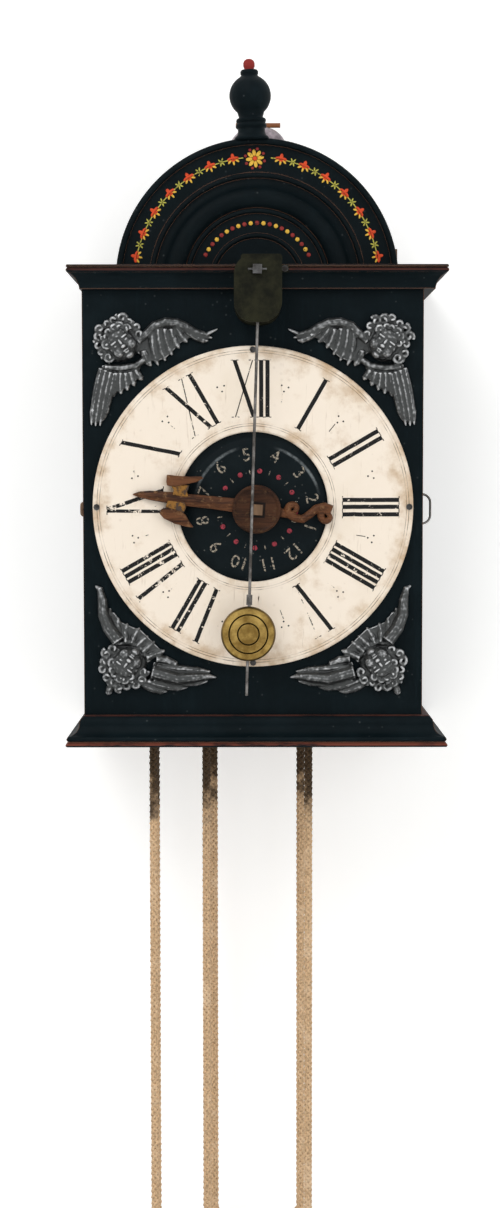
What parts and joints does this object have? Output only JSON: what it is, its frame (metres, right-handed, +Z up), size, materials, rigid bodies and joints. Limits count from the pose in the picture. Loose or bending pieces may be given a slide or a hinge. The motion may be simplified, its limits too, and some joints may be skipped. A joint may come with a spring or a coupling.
{
  "type": "wall clock with wooden gears",
  "caption": "Weight-driven wall clock with wooden wheels, verge escapement, front pendulum, hour hand, alarm disc and bell.",
  "frame": {"origin": "centre of the hanging hole on the wall plane, which is y = 0", "axes": "+Z up along the clock's height, -Y out of the wall towards the viewer, +X to the viewer's right"},
  "size_m": [0.2595, 0.1848, 0.8601],
  "materials": {
    "blue_black_paint": "old distemper paint, blue-black, rubbed through at the edges",
    "arch_paint": "old blue-black paint with a painted garland",
    "moulding_paint": "old paint over red ground, worn on the beads",
    "bare_wood": "bare old pine and pear wood",
    "boxwood_peg": "turned peg, oiled",
    "finial_black": "black lacquer, satin",
    "dial_cream": "aged cream oil paint, satin",
    "disc_blue_black": "blue-black paint with pale numerals",
    "hand_wood": "carved wood, stained brown, gilt at the necks",
    "cast_lead": "cast lead and tin, dull grey",
    "olive_brass": "dark tarnished sheet brass",
    "bob_brass": "rubbed brass",
    "bell_metal": "pale bell metal",
    "iron_wire": "old drawn iron wire",
    "forged_iron": "forged iron, dull",
    "rope_jute": "braided jute rope"
  },
  "bodies": {
    "case": {"top_board": "blue_black_paint", "floor_board": "bare_wood", "front_board": "blue_black_paint", "back_board": "bare_wood", "cornice": "moulding_paint", "base_moulding": "moulding_paint", "door_hinge_pins": "iron_wire", "arch": "arch_paint", "arch_batten": "bare_wood", "finial": "finial_black", "hanging_plate": "forged_iron", "bell_post": "bare_wood", "bell": "bell_metal", "bell_peg": "boxwood_peg", "dial_ring": "dial_cream", "front_nails": "forged_iron", "corner_castings": "cast_lead", "shield": "olive_brass", "front_bar": "bare_wood", "middle_bar": "bare_wood", "rear_bar": "bare_wood", "crown_foot_cock": "bare_wood", "crown_bridge": "olive_brass", "verge_cocks": "bare_wood", "alarm_frame": "bare_wood", "going_rope_left": "rope_jute", "going_rope_right": "rope_jute", "strike_rope_left": "rope_jute", "strike_rope_right": "rope_jute", "alarm_rope_front": "rope_jute", "alarm_rope_rear": "rope_jute", "weight_hooks": "forged_iron"},
    "left_door": {"left_door": "blue_black_paint", "door_knob": "bare_wood"},
    "right_door": {"right_door": "blue_black_paint", "door_pull": "iron_wire"},
    "pendulum": {"verge": "forged_iron", "pendulum_rod": "iron_wire"},
    "bob": {"pendulum_bob": "bob_brass"},
    "crown": {"crown_arbor": "bare_wood", "crown_wheel": "bare_wood"},
    "contrate": {"contrate_wheel": "bare_wood"},
    "second": {"second_wheel": "bare_wood"},
    "going_great": {"going_great_arbor": "bare_wood", "going_great_wheel": "bare_wood", "going_sheave": "bare_wood"},
    "hour": {"hour_wheel": "bare_wood", "hour_arbor": "bare_wood", "hour_hand": "hand_wood"},
    "alarm_disc": {"alarm_disc": "disc_blue_black"},
    "strike_great": {"strike_great_wheel": "bare_wood", "strike_sheave": "bare_wood"},
    "strike_second": {"strike_second_wheel": "bare_wood"},
    "warning": {"warning_wheel": "bare_wood"},
    "fly": {"fly": "bare_wood"},
    "count": {"count_wheel": "bare_wood"},
    "strike_hammer": {"strike_hammer": "forged_iron"},
    "alarm_wheel": {"alarm_crown": "bare_wood", "alarm_sheave": "bare_wood"},
    "alarm_staff": {"alarm_staff": "forged_iron"}
  },
  "joints": [
    {"name": "left_door_hinge", "type": "hinge", "parent": "case", "child": "left_door", "pos_m": [-0.1125, -0.012, 0], "axis": [0, 0, 1], "range_deg": [-100, 0]},
    {"name": "right_door_hinge", "type": "hinge", "parent": "case", "child": "right_door", "pos_m": [0.1125, -0.012, 0], "axis": [0, 0, 1], "range_deg": [0, 100]},
    {"name": "pendulum_swing", "type": "hinge", "parent": "case", "child": "pendulum", "pos_m": [0.003, -0.15, -0.0147], "axis": [0, 1, 0], "range_deg": [-13.75, 10.25]},
    {"name": "bob_height", "type": "slide", "parent": "pendulum", "child": "bob", "axis": [0.0305, 0, 0.9995], "range_m": [-0.012, 0]},
    {"name": "contrate_turn", "type": "hinge", "parent": "case", "child": "contrate", "pos_m": [0.003, -0.106, -0.1143], "axis": [0, 1, 0], "continuous": true},
    {"name": "second_turn", "type": "hinge", "parent": "case", "child": "second", "pos_m": [0.003, -0.09, -0.1563], "axis": [0, 1, 0], "continuous": true},
    {"name": "going_great_turn", "type": "hinge", "parent": "case", "child": "going_great", "pos_m": [0.003, -0.11, -0.2088], "axis": [0, 1, 0], "continuous": true},
    {"name": "crown_turn", "type": "hinge", "parent": "case", "child": "crown", "pos_m": [0.003, -0.0997, 0], "axis": [0, 0, 1], "continuous": true},
    {"name": "hour_turn", "type": "hinge", "parent": "case", "child": "hour", "pos_m": [0.003, -0.15, -0.1738], "axis": [0, 1, 0], "continuous": true},
    {"name": "alarm_disc_turn", "type": "hinge", "parent": "hour", "child": "alarm_disc", "pos_m": [0.003, -0.152, -0.1738], "axis": [0, 1, 0], "continuous": true},
    {"name": "warning_turn", "type": "hinge", "parent": "case", "child": "warning", "pos_m": [0.003, -0.056, -0.1283], "axis": [0, 1, 0], "continuous": true},
    {"name": "strike_second_turn", "type": "hinge", "parent": "case", "child": "strike_second", "pos_m": [0.003, -0.04, -0.1633], "axis": [0, 1, 0], "continuous": true},
    {"name": "strike_great_turn", "type": "hinge", "parent": "case", "child": "strike_great", "pos_m": [0.003, -0.05, -0.2088], "axis": [0, 1, 0], "continuous": true},
    {"name": "count_turn", "type": "hinge", "parent": "case", "child": "count", "pos_m": [0.003, -0.015, -0.2518], "axis": [0, 1, 0], "continuous": true},
    {"name": "fly_turn", "type": "hinge", "parent": "case", "child": "fly", "pos_m": [0.003, -0.04, -0.1019], "axis": [0, 1, 0], "continuous": true},
    {"name": "strike_hammer_lift", "type": "hinge", "parent": "case", "child": "strike_hammer", "pos_m": [0.02, -0.0645, -0.068], "axis": [0, 1, 0], "range_deg": [-4, 0]},
    {"name": "alarm_wheel_turn", "type": "hinge", "parent": "case", "child": "alarm_wheel", "pos_m": [-0.0695, -0.118, -0.102], "axis": [1, 0, 0], "continuous": true},
    {"name": "alarm_staff_swing", "type": "hinge", "parent": "case", "child": "alarm_staff", "pos_m": [-0.044, -0.118, 0], "axis": [0, 0, 1], "range_deg": [-20, 8]}
  ],
  "couplings": [
    {"joint": "second_turn", "follows": "contrate_turn", "ratio": -0.16667},
    {"joint": "going_great_turn", "follows": "contrate_turn", "ratio": 0.027778},
    {"joint": "hour_turn", "follows": "contrate_turn", "ratio": -0.0046296},
    {"joint": "crown_turn", "follows": "contrate_turn", "ratio": 8},
    {"joint": "strike_second_turn", "follows": "warning_turn", "ratio": -0.16667},
    {"joint": "strike_great_turn", "follows": "warning_turn", "ratio": 0.027778},
    {"joint": "count_turn", "follows": "warning_turn", "ratio": -0.002849},
    {"joint": "fly_turn", "follows": "warning_turn", "ratio": -5}
  ]
}
